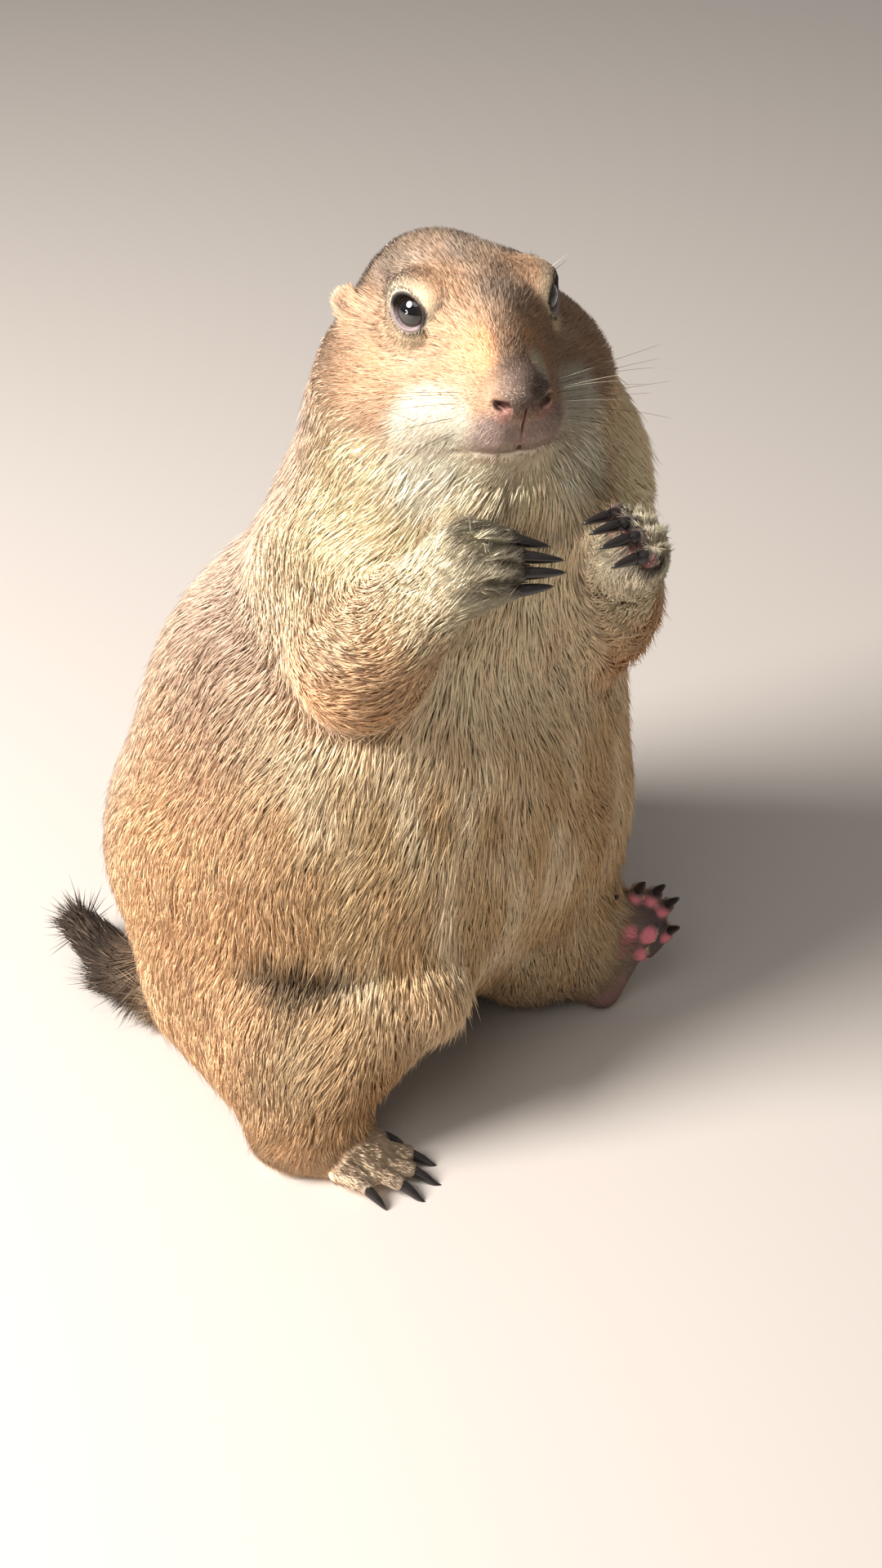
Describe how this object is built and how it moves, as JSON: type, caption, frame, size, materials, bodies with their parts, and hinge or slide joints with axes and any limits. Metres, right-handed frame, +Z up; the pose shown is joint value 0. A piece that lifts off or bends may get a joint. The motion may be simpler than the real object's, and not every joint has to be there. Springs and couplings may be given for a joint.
{
  "type": "prairie dog figure",
  "caption": "Life-size still model of a plump prairie dog sitting upright, hands raised to its chest, short tawny coat, dark claws and a black brush on its tail.",
  "frame": {"origin": "under the middle of the animal's bounding box, on the floor it sits on", "axes": "+Z up, the animal faces -Y, +X towards the animal's left side"},
  "size_m": [0.1656, 0.1822, 0.2607],
  "materials": {
    "head": "short soft fur",
    "ear": "short soft fur",
    "eye": "glossy black eye",
    "neck": "short soft fur",
    "chest": "short soft fur",
    "abdomen": "short soft fur",
    "upper_arm": "short soft fur",
    "forearm": "short soft fur",
    "hand": "short soft fur",
    "leg": "short soft fur",
    "foot": "short soft fur",
    "tail": "short soft fur"
  },
  "bodies": {
    "root": {"neck": "neck", "chest": "chest", "abdomen": "abdomen", "head": "head", "eye_right": "eye", "ear_right": "ear", "eye_left": "eye", "ear_left": "ear", "upper_arm_right": "upper_arm", "forearm_right": "forearm", "hand_right": "hand", "upper_arm_left": "upper_arm", "forearm_left": "forearm", "hand_left": "hand", "foot_right": "foot", "leg_right": "leg", "foot_left": "foot", "leg_left": "leg", "tail": "tail"}
  },
  "joints": []
}
